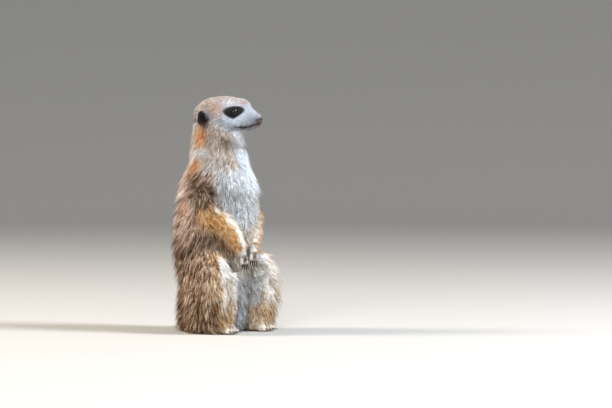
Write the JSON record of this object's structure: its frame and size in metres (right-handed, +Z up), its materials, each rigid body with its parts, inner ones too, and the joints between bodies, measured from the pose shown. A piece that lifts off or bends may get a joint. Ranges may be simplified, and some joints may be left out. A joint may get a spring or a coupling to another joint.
{
  "type": "meerkat",
  "caption": "Meerkat sitting upright on its haunches with its hands hanging in front of its belly and its head turned, as a still life-size model.",
  "frame": {"origin": "middle of the flat that the trunk sits on, on the floor, below the neck", "axes": "+Z up along the spine, -Y the way the animal's chest faces, +X the animal's left side"},
  "size_m": [0.1883, 0.1481, 0.2826],
  "materials": {
    "body_coat": "dense soft fur, grizzled tawny brown",
    "pale_coat": "short soft fur, cream to buff",
    "face_coat": "very short soft fur, pale grey to white",
    "dark_coat": "short fur, brown-black",
    "eye": "glossy wet dark brown",
    "nose_leather": "damp satin",
    "claw": "smooth dark horn"
  },
  "bodies": {
    "root": {"ear_left": "dark_coat", "ear_right": "dark_coat", "eye_left": "eye", "eye_right": "eye", "foot_claw_left_1": "claw", "foot_claw_left_2": "claw", "foot_claw_left_3": "claw", "foot_claw_left_4": "claw", "foot_claw_right_1": "claw", "foot_claw_right_2": "claw", "foot_claw_right_3": "claw", "foot_claw_right_4": "claw", "foot_left": "pale_coat", "foot_right": "pale_coat", "forearm_left": "body_coat", "forearm_right": "body_coat", "hand_claw_left_1": "claw", "hand_claw_left_2": "claw", "hand_claw_left_3": "claw", "hand_claw_left_4": "claw", "hand_claw_right_1": "claw", "hand_claw_right_2": "claw", "hand_claw_right_3": "claw", "hand_claw_right_4": "claw", "hand_left": "pale_coat", "hand_right": "pale_coat", "head": "face_coat", "lower_jaw": "face_coat", "neck": "body_coat", "nose": "nose_leather", "shank_left": "pale_coat", "shank_right": "pale_coat", "tail_base": "body_coat", "tail_middle": "body_coat", "tail_tip": "dark_coat", "thigh_left": "body_coat", "thigh_right": "body_coat", "trunk": "body_coat", "upper_arm_left": "body_coat", "upper_arm_right": "body_coat"}
  },
  "joints": []
}
